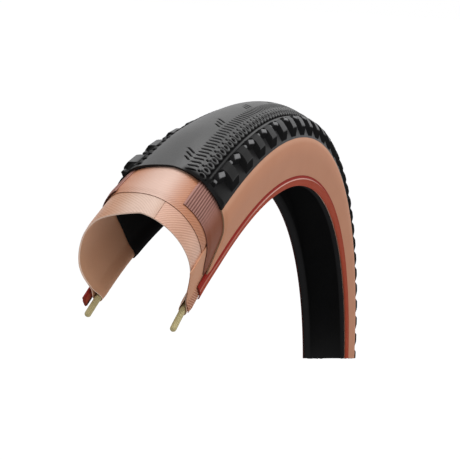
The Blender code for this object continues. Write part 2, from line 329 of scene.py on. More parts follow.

# Between which lengths from the crown, in millimetres, finishes change down the sides. The crown's paler band
# and the wall's pale band along the tread are painted highlights. The chafer's top and toe count from its
# upper edge and from the core; its darker top is painted shade, and its pale line, a painted highlight, grows
# full and ends between angles. HOLLOW_MARKS is how far below 0 the marks of a dull hollow or face lie, which
# painted shade makes dark.
CROWN_HIGHLIGHT = (1.0, 10.0)
GUARD_PLAIN = (17.0, 26.0)
WALL_PALE = (23.2, 25.6)
WEAVE_FROM = (41.0, 43.0)
CHAFER_TOP = (1.1, 1.8)
CHAFER_TOE_DARK = (-0.8, -0.1)
CHAFER_LINE_FULL = (92, 82)
CHAFER_LINE_END = (70, 56)
HOLLOW_MARKS = (0.1, 0.8)

# Threads in the finishes: slopes in degrees to the direction of travel, pitches in millimetres, and how fast
# the core's fibres follow one another across the bundle and along it, in radians to a millimetre.
WALL_THREAD_SLOPE = 42.0
WALL_THREAD_PITCH = 0.9
GUARD_WEAVE_PITCH = 0.8
STRIP_WEAVE_SLOPE = 45.0
STRIP_WEAVE_PITCH = 1.0
FIBRES_ACROSS = 9.0
FIBRES_ALONG = 0.7

# Stage: floor, lamps as name, place, size and power, and the photograph's camera by place, turn and tilt.
FLOOR_SIZE = 8.0
FLOOR_LEVEL = -CROWN_RADIUS
FLOOR_PALE = 0.8
FLOOR_GLOW = 0.660
LAMPLIGHT = 0.29
LAMP_REACH = 1.5
LAMP_FALL = -1.5
AMBIENT = 0.47
LAMPS = (
    ("key", (0.45, -0.05, 1.20), 0.7, 6.0),
    ("top", (0.05, 0.00, 1.45), 0.9, 3.5),
    ("fill", (-0.35, -1.1, 0.55), 1.0, 2.5),
)
LAMP_AIM = (0.05, 0.0, 0.33)
CAMERA_AT = (-0.332996, -0.121348, 0.470067)
CAMERA_TURN = 17.9986
CAMERA_TILT = 24.5661
CAMERA_NEAREST = 0.02
LENS = 68.448
SENSOR = 36.0


def smooth(t):
    """A soft step from 0 to 1."""
    t = np.clip(t, 0.0, 1.0)
    return t * t * (3 - 2 * t)


def bell(distance, width):
    """1 on a line, and falling off to 0 on both sides of it."""
    return np.exp(-(distance / width) ** 2)


def section(s, offset):
    """Radius and side of points on the section, by length from the crown and height above the inside."""
    length = np.abs(s)
    angle = np.minimum(length, ARC_END) / CASING_RADIUS
    past = np.maximum(length - ARC_END, 0.0)
    reach = CASING_RADIUS + offset
    r = CENTRE + reach * np.cos(angle) - past * np.sin(angle)
    y = reach * np.sin(angle) + past * np.cos(angle)
    return r, np.where(s < 0, -y, y)


def round_core(turn, radius, side):
    """Points round the bead core: turn 0 faces out of the tyre, 90 faces the axle, 180 faces in."""
    r, y = section(CORE_AT, CORE_OFFSET)
    a = np.radians(turn)
    out = radius * np.cos(a)
    down = radius * np.sin(a)
    r = r + out * math.cos(SWEEP) - down * math.sin(SWEEP)
    y = y + out * math.sin(SWEEP) + down * math.cos(SWEEP)
    return r, side * y


def spread(s):
    """How far the layers part to make room for the bead core."""
    return BULGE * smooth((np.abs(s) - TAPER_AT) / BEAD_TAPER)


def near_angle(cut, r, y):
    """Angle of a layer's near cut."""
    crown, right, right_bead, left, left_bead, *late = cut
    side = np.where(y > 0, left, right)
    bead = np.where(y > 0, left_bead, right_bead)
    reach = np.minimum(np.abs(y) / (CASING_RADIUS + TURN_OUT), 1.0)
    start = np.where(y > 0, EARLY_FALL, late[0] / CASING_RADIUS if late else EARLY_FALL)
    fall = smooth((CENTRE - r) / CASING_RADIUS - start)
    return crown + (side - crown) * reach + (bead - side) * fall


def far_angle(r, y):
    """Angle of the flat cut of the far end."""
    skew = math.radians(FAR_SKEW)
    reach = (FAR_DISTANCE - y * math.sin(skew)) / (r * math.cos(skew))
    return FAR_RISE - np.degrees(np.arccos(reach))


def place(r, y, angle):
    """Points of the section carried round the wheel, with the left side opened at the near end."""
    opened = smooth((angle - FLARE_START) / (FLARE_END - FLARE_START))
    amount = FLARE_BEAD + (FLARE - FLARE_BEAD) * smooth((r - BEAD_RADIUS) / CASING_RADIUS)
    y = y + amount * opened * smooth(y / FLARE_WIDTH)
    a = np.radians(angle)
    return np.stack(np.broadcast_arrays(r * np.cos(a), y, r * np.sin(a)), axis=-1)


def lay_out(angle, s):
    """Place of points on the tyre laid flat: length towards the far end, and from the crown."""
    return np.stack(np.broadcast_arrays(-angle * DEGREE, s), -1)


def turn_rows(rows, cut, r, y):
    """Angle of every point: even rows in the middle, drawn out to the two cuts at the ends."""
    near = near_angle(cut, r, y)
    far = far_angle(r, y)
    hold = near.min() - HOLD_NEAR
    t = rows[:, None]
    upper = hold + (t - hold) / (rows[0] - hold) * (near - hold)
    lower = HOLD_FAR + (t - HOLD_FAR) / (rows[-1] - HOLD_FAR) * (far - HOLD_FAR)
    return np.where(t > hold, upper, np.where(t < HOLD_FAR, lower, t))


def even_rows(cut, fine_to, near_step, far_step=FAR_STEP):
    """Row angles from the near cut to the far one, closer together as far as one angle."""
    start = max(cut[:5])
    fine = np.arange(start, fine_to, -near_step)
    coarse = np.arange(fine[-1] - far_step, LAST_ROW, -far_step)
    return np.concatenate([fine, coarse, [LAST_ROW]])


def end_faces(index, inner_at):
    """Faces that close the two ends of a grid, each over the outer columns between two inner ones."""
    columns = index.shape[1]
    faces = []
    for ring, step in ((index[0].tolist(), 1), (index[-1].tolist(), -1)):
        for k in range(len(inner_at) - 1):
            top = ring[inner_at[k]:inner_at[k + 1] + 1]
            face = top[::-1] + [ring[columns - 1 - k], ring[columns - 2 - k]]
            faces.append(face[::step])
    return faces


def add_object(name, data):
    """A new object in the scene."""
    made = bpy.data.objects.new(name, data)
    bpy.context.scene.collection.objects.link(made)
    return made


def make_piece(name, points, lay, inner_at, finishes, node, face_finish=None, sharp=SHARP, marks=None):
    """One closed body from a grid of points: its first columns are the outer face, the rest the inner face
    the other way round. inner_at says which outer columns the inner ones lie under. The last finish is the
    one of the two ends, and face_finish chooses among the others for each column."""
    rows, columns = points.shape[:2]
    index = np.arange(rows * columns).reshape(rows, columns)
    beside = np.roll(index, -1, axis=1)
    sides = np.stack([index[:-1], beside[:-1], beside[1:], index[1:]], axis=-1).reshape(-1, 4)
    faces = sides.tolist() + end_faces(index, inner_at)
    flat = points.reshape(-1, 3)
    a, b, c, d = (flat[sides[:, k]] for k in range(4))
    volume = np.einsum("ij,ij->", a, np.cross(b, c) + np.cross(c, d))
    if volume < 0:
        faces = [face[::-1] for face in faces]
    mesh = bpy.data.meshes.new(name)
    mesh.from_pydata(flat.tolist(), [], faces)
    corners = np.empty(len(mesh.loops), np.int32)
    mesh.loops.foreach_get("vertex_index", corners)
    layer = mesh.uv_layers.new(name="lay")
    layer.uv.foreach_set("vector", (lay.reshape(-1, 2)[corners] / MM).astype(np.float32).ravel())
    if marks is not None:
        kept = mesh.attributes.new("marks", "FLOAT", "POINT")
        kept.data.foreach_set("value", marks.astype(np.float32).ravel())
    for finish in finishes:
        mesh.materials.append(finish)
    chosen = np.zeros(len(faces), np.int32)
    if face_finish is not None:
        chosen[:len(sides)] = np.tile(face_finish, rows - 1)
    chosen[len(sides):] = len(finishes) - 1
    mesh.polygons.foreach_set("material_index", chosen)
    mesh.polygons.foreach_set("use_smooth", np.ones(len(faces), bool))
    mesh.set_sharp_from_angle(angle=math.radians(sharp))
    mesh.update()
    piece = add_object(name, mesh)
    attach(piece, "root")
    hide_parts(node)


def sweep_layer(name, outer, inner, cut, rows, finishes, slot, node, face_finish=None, share=EDGE_SHARE,
                side_build=1.0, marks=None, sharp=SHARP, edge_length=EDGE_LENGTH):
    """A layer with one profile all the way round, thinner towards its near cut. Each face is three arrays:
    radius, side and length from the crown; side_build thins it towards its side edges as well."""
    angle = turn_rows(rows, cut, outer[0], outer[1])
    near = near_angle(cut, outer[0], outer[1])
    build = np.minimum(smooth((near - angle) * DEGREE / edge_length), side_build)
    build = share + (1 - share) * build
    outer_r = inner[0] + (outer[0] - inner[0]) * build
    outer_y = inner[1] + (outer[1] - inner[1]) * build
    under = turn_rows(rows, cut, inner[0], inner[1])
    above = place(outer_r, outer_y, angle)
    below = place(inner[0], inner[1], under)
    points = np.concatenate([above, below[:, ::-1]], axis=1)
    lay = np.concatenate([lay_out(angle, outer[2]), lay_out(under, inner[2])[:, ::-1]], axis=1)
    if marks is not None:
        marks = np.broadcast_to(np.concatenate([marks, np.zeros_like(marks)]), points.shape[:2])
    columns = list(range(len(outer[0])))
    make_piece(name, points, lay, columns, finishes, node, face_finish, sharp, marks)


# Finishes

def shade(red, green, blue):
    """A colour given as it shows on a screen, from 0 to 255, as the shader wants it."""
    parts = [channel / 255 for channel in (red, green, blue)]
    return (*[c / 12.92 if c <= 0.04045 else ((c + 0.055) / 1.055) ** 2.4 for c in parts], 1.0)


def grey(level):
    """A neutral colour, just on the cool side, by the share of light it gives back."""
    return (level, level, level * 1.02, 1.0)


class Value:
    """One socket of a finish. Arithmetic on it adds Math nodes."""

    def __init__(self, finish, socket):
        self.finish = finish
        self.socket = socket

    def math(self, operation, *others):
        return self.finish.node("ShaderNodeMath", {"operation": operation}, dict(enumerate((self, *others))))

    def from_left(self, operation, other):
        return self.finish.node("ShaderNodeMath", {"operation": operation}, {0: other, 1: self})

    def __add__(self, other):
        return self.math("ADD", other)

    def __mul__(self, other):
        return self.math("MULTIPLY", other)

    def __radd__(self, other):
        return self.from_left("ADD", other)

    def __rsub__(self, other):
        return self.from_left("SUBTRACT", other)

    def __rmul__(self, other):
        return self.from_left("MULTIPLY", other)

    def step(self, low, high):
        """0 below low, 1 above high, soft between."""
        return self.finish.node("ShaderNodeMapRange", {"interpolation_type": "SMOOTHSTEP"},
                                {"Value": self, "From Min": low, "From Max": high})

    def wave(self, pitch):
        """0 to 1 and back over each pitch."""
        return (self * (2 * math.pi / pitch)).math("SINE") * 0.5 + 0.5

    def past(self, lengths):
        """0 up to the first of two lengths on either side of the crown, 1 from the second on."""
        return self.math("ABSOLUTE").step(*lengths)

    def other(self, output):
        """Another output of the node that this value comes from."""
        return Value(self.finish, self.socket.node.outputs[output])


class Finish:
    """One tree of shader nodes, of a material or of the world."""

    def __init__(self, owner):
        owner.use_nodes = True
        self.owner = owner
        self.tree = owner.node_tree
        self.tree.nodes.clear()

    def node(self, kind, settings=None, inputs=None, output=0):
        """Add a node: its settings first, then the values or links of its sockets."""
        made = self.tree.nodes.new(kind)
        for key, value in (settings or {}).items():
            setattr(made, key, value)
        for key, value in (inputs or {}).items():
            if isinstance(value, Value):
                self.tree.links.new(value.socket, made.inputs[key])
            else:
                made.inputs[key].default_value = value
        return Value(self, made.outputs[output]) if len(made.outputs) else None

    def blend(self, factor, first, second):
        """A colour between two colours."""
        return self.node("ShaderNodeMix", {"data_type": "RGBA"}, {0: factor, 6: first, 7: second}, 2)

    def mix(self, factor, first, second):
        """A shader between two shaders."""
        return self.node("ShaderNodeMixShader", None, {0: factor, 1: first, 2: second})

    def lay(self):
        """Millimetres along the tyre and across it, as two values."""
        along = self.node("ShaderNodeSeparateXYZ", None, {0: self.node("ShaderNodeUVMap", {"uv_map": "lay"})})
        return along, along.other(1)

    def marks(self):
        """The number kept with each point of the mesh."""
        return self.node("ShaderNodeAttribute", {"attribute_name": "marks"}, None, 2)

    def hollow(self, marks):
        """1 down in a hollow or on a steep face, where the marks are below 0: painted shade, dull and dark.
        """
        return (marks * -1.0).step(*HOLLOW_MARKS)

    def square(self, along, side, slope):
        """Millimetres square to a line that leaves the direction of travel by an angle."""
        a = math.radians(slope)
        return along * math.sin(a) + side * math.cos(a)

    def grain(self, scale, detail=2.0):
        """Even noise from 0 to 1 in the place of the piece, scale in marks per metre."""
        at = self.node("ShaderNodeNewGeometry")
        return self.node("ShaderNodeTexNoise", None, {"Vector": at, "Scale": scale, "Detail": detail})

    def bump(self, height, distance):
        """A surface normal from a height in shares of a distance."""
        return self.node("ShaderNodeBump", None, {"Height": height, "Distance": distance})

    def principled(self, colour, roughness, shine, normal=None):
        """A Principled shader."""
        sockets = {"Base Color": colour, "Roughness": roughness, "Specular IOR Level": shine}
        if normal is not None:
            sockets["Normal"] = normal
        return self.node("ShaderNodeBsdfPrincipled", None, sockets)

    def end(self, surface, kind="ShaderNodeOutputMaterial"):
        """Put a shader on the surface."""
        self.node(kind, None, {0: surface})
        return self.owner

    def close(self, **look):
        """End with one Principled shader."""
        return self.end(self.principled(**look))


def finish(name):
    """The empty finish of a new material."""
    return Finish(bpy.data.materials.new(name))


def tread_finish():
    """Black rubber with a soft sheen on the crown. Painted shade makes it dull and darker down in the
    moulded hollows and along the darker bands.
    """
    f = finish("tread_crown")
    cloud = f.grain(90.0, detail=3.0)
    fine = f.grain(2600.0)
    skin = f.principled(colour=f.blend(cloud, grey(0.018), grey(0.024)), roughness=0.36 + 0.10 * cloud,
                        normal=f.bump(fine, 0.00004), shine=0.40)
    dull = f.principled(colour=f.blend(fine, grey(0.002), grey(0.005)), roughness=0.8 + 0.1 * fine,
                        shine=0.05)
    return f.end(f.mix(f.hollow(f.marks()), skin, dull))


def shoulder_finish():
    """The same rubber on the shoulder, with painted highlights paler on top of the knobs and the ground
    further back, and painted shade, dull and dark, on their steep faces.
    """
    f = finish("tread_shoulder")
    fine = f.grain(2600.0)
    marks = f.marks()
    painted_highlight = f.blend(marks.step(0.0, 1.0), grey(0.007), grey(0.150))
    skin = f.principled(colour=painted_highlight, roughness=0.45 + 0.10 * fine, normal=f.bump(fine, 0.00003),
                        shine=0.06)
    dull = f.principled(colour=f.blend(fine, grey(0.010), grey(0.018)), roughness=0.8 + 0.1 * fine,
                        shine=0.0)
    return f.end(f.mix(f.hollow(marks), skin, dull))


def wall_finish():
    """Tan sidewall rubber, smooth and paler along the tread, where the paleness is a painted highlight, with
    the casing cords just showing through.
    """
    f = finish("sidewall_tan")
    along, side = f.lay()
    thread = f.square(along, side, WALL_THREAD_SLOPE).wave(WALL_THREAD_PITCH)
    cloud = f.grain(45.0, detail=3.0)
    fine = f.grain(1800.0)
    tan = f.blend(cloud, shade(192, 133, 102), shade(200, 142, 111))
    top = 1 - side.past(WALL_PALE)
    return f.close(colour=f.blend(top * 0.6, tan, shade(214, 164, 136)), roughness=0.58 + 0.1 * fine,
                   normal=f.bump(thread * 0.2 + fine * 0.4, 0.00004), shine=0.12)


def guard_finish():
    """Mauve ribbed fabric under the tread's edge, with painted shade down in its grooves, plain red-brown
    further down.
    """
    f = finish("guard_mauve")
    along, side = f.lay()
    down = side.past(GUARD_PLAIN)
    fine = f.grain(1600.0)
    cloth = f.blend(fine, shade(154, 112, 102), shade(174, 130, 120))
    rubber = f.blend(fine, shade(120, 67, 47), shade(134, 80, 58))
    colour = f.blend(f.marks(), f.blend(down, cloth, rubber), shade(92, 58, 50))
    weave = along.wave(GUARD_WEAVE_PITCH) * (1 - down)
    return f.close(colour=colour, roughness=0.55 + 0.15 * fine,
                   normal=f.bump(weave * 0.5 + fine * 0.4, 0.00006), shine=0.1)


def cord_finish(name, slope, pale, dark, between, pitch, show, flank, tint, tint_share, painted_highlight=0.0):
    """Parallel cords in rubber, lying at an angle to the direction of travel. The share by which the crown
    is made paler is a painted highlight, and flank gives the lengths from the crown between which the sides
    take on a tint: partly the ply's own tone, partly painted shade where it is browner and painted light
    where it is paler."""
    f = finish(name)
    along, side = f.lay()
    cord = (f.square(along, side, slope) + f.grain(160.0) * 0.2).wave(pitch)
    strand = f.grain(900.0, detail=3.0)
    cloud = f.grain(60.0)
    skin = f.blend(cloud * 0.6 + strand * 0.4, dark, pale)
    colour = f.blend((1 - cord) * show, skin, between)
    if painted_highlight:
        colour = f.blend((1 - side.past(CROWN_HIGHLIGHT)) * painted_highlight, colour, shade(236, 212, 200))
    colour = f.blend(side.past(flank) * tint_share, colour, tint)
    return f.close(colour=colour, roughness=0.34 + 0.2 * strand,
                   normal=f.bump(cord + strand * 0.3, 0.00006), shine=0.4)


def plain_finish(name, low, high, scale=300.0, roughness=0.7, depth=0.00005, shine=0.1):
    """One colour that drifts a little, with a fine grain. The usual values are those of a cut edge."""
    f = finish(name)
    cloud = f.grain(scale, detail=3.0)
    fine = f.grain(scale * 18)
    colour = f.blend(cloud * 0.7 + fine * 0.3, low, high)
    return f.close(colour=colour, roughness=roughness + 0.15 * fine, normal=f.bump(fine, depth),
                   shine=shine)


def woven_finish():
    """Strip round the bead: plain above, and below woven of two sets of threads, one over the other."""
    f = finish("bead_weave")
    along, side = f.lay()
    warp, weft = (f.square(along, side, slope).wave(STRIP_WEAVE_PITCH)
                  for slope in (STRIP_WEAVE_SLOPE, -STRIP_WEAVE_SLOPE))
    knot = warp * weft
    low = side.past(WEAVE_FROM)
    fine = f.grain(1200.0)
    plain = f.blend(fine, shade(197, 142, 111), shade(209, 156, 125))
    cloth = f.blend((knot * 1.5).math("MINIMUM", 1.0), shade(158, 100, 74), shade(226, 176, 150))
    return f.close(colour=f.blend(low, plain, cloth), roughness=0.6 + 0.1 * fine,
                   normal=f.bump(knot * low + fine * 0.2, 0.00012), shine=0.15)


def chafer_finish():
    """Red rubber, darker at the left toe, with painted shade darker along the top and a pale painted
    highlight line along part of its ridge.
    """
    f = finish("chafer_red")
    cloud = f.grain(70.0, detail=3.0)
    fine = f.grain(2000.0)
    along, side = f.lay()
    edge, toe, degree = WALL_EDGE / MM, CORE_AT / MM, DEGREE / MM
    red = f.blend(cloud, shade(160, 64, 43), shade(174, 79, 56))
    top = 1 - side.past(edge + below for below in CHAFER_TOP)
    red = f.blend(top, red, shade(150, 46, 38))
    red = f.blend(side.step(*(toe + past for past in CHAFER_TOE_DARK)) * 0.9, red, grey(0.015))
    line = f.marks() * (1 - along.step(*(-angle * degree for angle in CHAFER_LINE_END)))
    line = line * (0.3 + 0.7 * along.step(*(-angle * degree for angle in CHAFER_LINE_FULL)))
    return f.close(colour=f.blend(line, red, shade(244, 200, 188)), roughness=0.60 + 0.15 * fine,
                   normal=f.bump(fine, 0.00004), shine=0.04)


def core_finish():
    """Straw coloured bundle of stiff fibres, laid with a slow twist."""
    f = finish("core_straw")
    along, side = f.lay()
    fibre = (side * FIBRES_ACROSS + along * FIBRES_ALONG).math("SINE") * 0.5 + 0.5
    hair = f.grain(1500.0, detail=3.0)
    colour = f.blend(fibre * 0.45 + hair * 0.55, shade(170, 154, 100), shade(212, 200, 156))
    return f.close(colour=colour, roughness=0.45 + 0.2 * hair, normal=f.bump(fibre * 0.6 + hair, 0.00008),
                   shine=0.3)


# Tread

def ramp(t):
    """A straight step from 0 to 1."""
    return np.clip(t, 0.0, 1.0)


def repeat(value, period):
    """The distance to the nearest repeat, between minus half a period and half a period."""
    return (value + period / 2) % period - period / 2


def to_segment(a, q, start, end):
    """Distance of points to a straight slit between two ends."""
    da, dq = end[0] - start[0], end[1] - start[1]
    t = ramp(((a - start[0]) * da + (q - start[1]) * dq) / (da * da + dq * dq))
    return np.hypot(a - start[0] - t * da, q - start[1] - t * dq)


def in_oval(a, q, size, rim):
    """1 inside an oval, falling to 0 over its rim."""
    end, width = rim
    return smooth((end - np.hypot(a / size[0], q / size[1])) / width)


def within(q, ends, start, end):
    """1 between two lengths from the crown, with a soft start and a soft end."""
    return smooth((q - ends[0]) / start) * smooth((ends[1] - q) / end)


def lowest(*shares):
    """The smallest of several slopes, kept between 0 and 1: 1 is the flat top, 0 the ground."""
    return ramp(np.minimum.reduce(np.broadcast_arrays(*shares)))


def knob_shares(u, q, left):
    """How high one knob stands at each point, as a share: its plank, the plank's faces alone, the step in
    front of it and the bar behind. u and q are millimetres along the tyre from the middle of the knob's foot,
    and from the crown; left is 1 on the left, where planks slope up from the crown and steps are lower."""
    far = u - PLANK_FAR + PLANK_FAR_TAPER * np.maximum(q - PLANK_FAR_TAPER_AT, 0)
    near = PLANK_NEAR - PLANK_NEAR_TAPER * np.maximum(q - PLANK_NEAR_TAPER_AT, 0) - u
    faces = lowest(far / PLANK_FAR_RUN, (PLANK_FOOT - q) / PLANK_FOOT_RUN, near / PLANK_NEAR_RUN)
    plank = lowest(faces, (q - PLANK_CROWN) / (PLANK_CROWN_RUN + PLANK_SLOPE_LEFT * left))
    step = lowest(*(1 + (up_u * (u - edge_u) + up_q * (q - edge_q)) / run
                    for (edge_u, edge_q), (up_u, up_q), run in STEP_FACES))
    bar = lowest((u - BAR_FAR) / BAR_RUN, (BAR_NEAR - u) / BAR_RUN,
                 (q - BAR_CROWN) / BAR_CROWN_RUN, (BAR_FOOT - q) / BAR_FOOT_RUN)
    return plank, faces, step * (1 - STEP_LOWER_LEFT * left), bar


def tread_floor(q):
    """Level of the tread without pattern and knobs: round over the crown, and lower on the shoulder."""
    crown = np.cos(math.pi / 2 * np.minimum(q / TREAD_EDGE, 1)) ** TREAD_ROUND
    base = WALL_OUT + (TREAD_OUT - WALL_OUT) * crown
    shoulder = within(q, SHOULDER, SHOULDER_START, SHOULDER_FOOT)
    return base + (np.minimum(base, KNOB_FLOOR) - base) * shoulder


def begun(share, run):
    """1 on a form, 0 on the ground round it."""
    return smooth(share / run)


def reached(share, edge=TOP_EDGE):
    """1 on the flat top of a form, 0 on its faces."""
    start, run = edge
    return smooth((share - start) / run)


def knob_relief(angle, q, left, floor, height):
    """How far the knobs stand up at each point, and how pale painted light makes them and the ground between
    them:
    below 0 where a face is steep and painted shade makes it dull and dark."""
    u = repeat(angle - KNOB_AT, KNOB_PITCH) * KNOB_STEP / MM
    pitch = KNOB_PITCH * KNOB_STEP / MM
    sets = [knob_shares(u + shift, q / MM, left) for shift in (0.0, pitch, -pitch)]
    plank, faces, step, bar = (np.maximum.reduce(parts) for parts in zip(*sets))
    stands = plank * PLANK_SHARE
    climb = smooth((q - KNOB_CLIMB_AT) / KNOB_CLIMB)
    top = KNOB_LOW + (KNOB_TOP - KNOB_LOW) * climb + KNOB_LIFT_LEFT * left
    rise = (top - floor) * np.maximum(np.maximum(stands, step) * height, bar * BAR_SHARE)
    plank_steep = begun(plank, STEEP_EDGE) * (1 - reached(faces))
    step_steep = begun(step, STEEP_EDGE) * (1 - reached(step) * (1 - left))
    steep = np.where(stands >= step, plank_steep, step_steep)
    back = smooth((BACK_FROM - angle) / BACK_OVER)
    pale = np.maximum(PLANK_PALE + PLANK_PALE_BACK * back, PLANK_PALE_LEFT * left)
    flat = begun(plank, PLANK_EDGE) * pale
    tops = np.maximum(flat, np.maximum(reached(step), reached(bar, BAR_TOP_EDGE)))
    ground = (GROUND_PALE + GROUND_PALE_BACK * back) * (1 - begun(np.maximum(plank, step), GROUND_EDGE))
    ground = np.where(q > RIDGE_AT + SHOULDER_START, ground, 0.0)
    ridge = RIDGE_PALE * bell(q - RIDGE_AT, RIDGE_PALE_WIDTH)
    return rise, np.maximum(np.maximum(tops, ridge), ground) * (1 - steep) - steep


def slit_pattern(a, q):
    """How deep the crown is sunk in the groups of three slits and in the row of dashes, as a share."""
    sunk = np.zeros_like(a + q)
    group = repeat(a - SLITS_MIDDLE, PATTERN_PITCH) + SLITS_MIDDLE
    for k, length in enumerate(SLIT_LENGTHS):
        ends = [(k * DASH_SPACING + SLIT_LEAN * up, SLIT_FOOT - up)
                for up in (SLIT_FOOT_END, length - SLIT_TOP_END)]
        sunk = np.maximum(sunk, smooth((SLIT_REACH - to_segment(group, q, *ends)) / SLIT_SIDE))
    along = repeat(a - DASH_MIDDLE, DASH_SPACING) + DASH_MIDDLE
    dash = to_segment(along, q, DASH_FROM, DASH_TO)
    return np.maximum(sunk, smooth((DASH_REACH - dash) / DASH_SIDE))


def ring_pattern(a, q):
    """How deep the crown is sunk in the dots and round the rings, as a share, and the rings themselves, both
    in their field and wherever they reach."""
    dot = in_oval(repeat(a - DOT_AT, RING_SPACING), q - DOT_ROW, DOT_SIZE, DOT_RIM)
    along = repeat(a, RING_SPACING)
    across = q - RING_ROW
    hole = in_oval(along, across, HOLE_SIZE, HOLE_RIM)
    bead = in_oval(along, across, RING_SIZE, RING_RIM)
    field = within(q, RING_FIELD, RING_FIELD_EDGE, RING_FIELD_EDGE)
    around = np.maximum(hole, RING_FIELD_DEPTH * field * (1 - bead))
    return np.maximum(dot, around), field * bead, bead


def painted_tread_shade(angle, q, left, inside, bead):
    """How much painted shade darkens the tread along its front and ridge, and on the left along the rings."""
    front = FRONT_DARK * (1 - smooth((inside - FRONT_DARK_FROM) / FRONT_DARK_OVER))
    front = front * smooth((q - FRONT_DARK_AT) / FRONT_DARK_EDGE) * (1 - left)
    near = smooth((angle - RIDGE_DARK_FROM) / RIDGE_DARK_OVER)
    ridge = (RIDGE_DARK + RIDGE_DARK_FRONT * near) * bell(q - RIDGE_AT, RIDGE_DARK_WIDTH)
    band = left * within(q, LEFT_BAND, LEFT_BAND_START, RING_FIELD_EDGE)
    return front + ridge + band * (LEFT_BAND_DARK + (LEFT_RING_DARK - LEFT_BAND_DARK) * bead)


def tread_relief(angle, s, inside):
    """Level of the tread's outside, and a mark for each point: below 0 where painted shade darkens it, down
    in a hollow and along the darker bands, above 0 where painted light makes it pale. inside is the angle
    from the tread's front, where knobs and pattern run out."""
    q = np.abs(s)
    left = np.where(s < 0, 0.0, 1.0)
    height = smooth(inside / KNOB_FADE)
    shown = smooth((inside - PATTERN_FADE_FROM) / PATTERN_FADE)
    floor = tread_floor(q)
    rise, pale = knob_relief(angle, q, left, floor, height)
    a = (PATTERN_AT - angle) * DEGREE
    holes, rings, bead = ring_pattern(a, q)
    sunk = np.maximum(np.where(s < 0, slit_pattern(a, q), 0.0), holes)
    sunk = np.maximum(sunk, CREASE_DEPTH * bell(q - CREASE_AT, CREASE_WIDTH))
    sunk = np.where(q > RIDGE_AT, 0.0, sunk) * shown
    level = floor + RIDGE_HEIGHT * height * bell(q - RIDGE_AT, RIDGE_WIDTH) + rise
    level = level + RING_HEIGHT * rings * shown - PATTERN_DEPTH * sunk
    return level, pale - sunk - painted_tread_shade(angle, q, left, inside, bead)


def tread_columns():
    """Lengths from the crown at which the tread's outside has points, finer where the pattern is."""
    start, count = CROWN_COLUMNS["right"]
    right = [np.linspace(-TREAD_EDGE, -SHOULDER_MESH_START, SHOULDER_COLUMNS["right"]),
             [-length for length in reversed(RIDGE_COLUMNS)], np.linspace(-CROWN_MESH_END, -start, count)]
    start, count = CROWN_COLUMNS["left"]
    left = [np.linspace(*SLICK_COLUMNS), np.linspace(start, CROWN_MESH_END, count), RIDGE_COLUMNS,
            np.linspace(SHOULDER_MESH_START, TREAD_EDGE, SHOULDER_COLUMNS["left"])]
    return np.concatenate(right + left)


def tread_rows():
    """Angles of the tread's rows, finer towards the near end."""
    parts = []
    start = max(TREAD_CUT)
    for stop, step in TREAD_ROWS:
        parts.append(np.arange(start, stop, -step))
        start = stop
    return np.concatenate([*parts, [LAST_ROW]])


def make_tread(finishes):
    """The moulded tread: its outer face carries the pattern, and it runs thin towards its front."""
    s = tread_columns()
    rows = tread_rows()
    inner_step, outer_step = GUARD_STEP_AT - GUARD_STEP / 2, GUARD_STEP_AT + GUARD_STEP / 2
    side_count, middle_count = UNDER_COLUMNS
    wanted = [np.linspace(-TREAD_EDGE, -outer_step, side_count),
              np.linspace(-inner_step, inner_step, middle_count),
              np.linspace(outer_step, TREAD_EDGE, side_count)]
    inner_at = sorted({int(np.abs(s - at).argmin()) for at in np.concatenate(wanted)})
    under = s[inner_at]
    r, y = section(s, TREAD_OUT)
    angle = turn_rows(rows, TREAD_CUT, r, y)
    inside = near_angle(TREAD_CUT, r, y) - angle
    front = smooth(1 - inside * DEGREE / FRONT_LENGTH)
    drop = FRONT_DROP * front * np.cos(math.pi / 2 * s / TREAD_EDGE) ** 2
    level, marks = tread_relief(angle + FRONT_SHIFT * drop, s[None, :], inside)
    outer = place(*section(s[None, :], level - drop), angle)
    low = np.where(np.abs(under) > GUARD_STEP_AT, GUARD_OUT, BREAKER_OUT) + SNUG
    r, y = section(under, low)
    inner_angle = turn_rows(rows, [cut - UNDERCUT for cut in TREAD_CUT], r, y)
    points = np.concatenate([outer, place(r, y, inner_angle)[:, ::-1]], axis=1)
    lay = np.concatenate([lay_out(angle, s), lay_out(inner_angle, under)[:, ::-1]], axis=1)
    marks = np.concatenate([marks, np.zeros(inner_angle.shape)], axis=1)
    middle = np.abs(s[:-1] + s[1:]) / 2
    zone = np.concatenate([np.where(middle > SHOULDER_FINISH_AT, 1, 0), np.zeros(len(under) + 1, int)])
    make_piece("tread_moulded", points, lay, inner_at, finishes, "tread", zone, TREAD_SHARP,
               marks)


# Layers under the tread

def path(*stretches):
    """Join stretches of a profile, each (radius, side, length) arrays, into one face."""
    return [np.concatenate([part[k] for part in stretches]) for k in range(3)]


def stretch(s, level):
    """A stretch of a profile along the section."""
    r, y = section(s, np.broadcast_to(level, s.shape))
    return r, y, s


def bend(turns, radius, side):
    """A stretch of a profile round the bead core."""
    r, y = round_core(turns, radius, side)
    return r, y, side * (CORE_AT + STRIP_OUT * np.radians(turns))


def side_thin(s, edge, width):
    """Builds up from 0 at a side edge to 1."""
    return smooth(np.abs(np.abs(s) - edge) / width)


def make_breaker(finishes):
    """Cord ply over the whole crown."""
    s = np.linspace(-BREAKER_EDGE, BREAKER_EDGE, POINTS["breaker"])
    rows = even_rows(BREAKER_CUT, fine_to=96.5, near_step=0.1)
    thin = side_thin(s, BREAKER_EDGE, BREAKER_SIDE_LENGTH)
    sweep_layer("breaker_cord", stretch(s, BREAKER_OUT), stretch(s, TURN_OUT + SNUG), BREAKER_CUT, rows,
                finishes, "ply_fabric", "breaker_ply", side_build=thin)


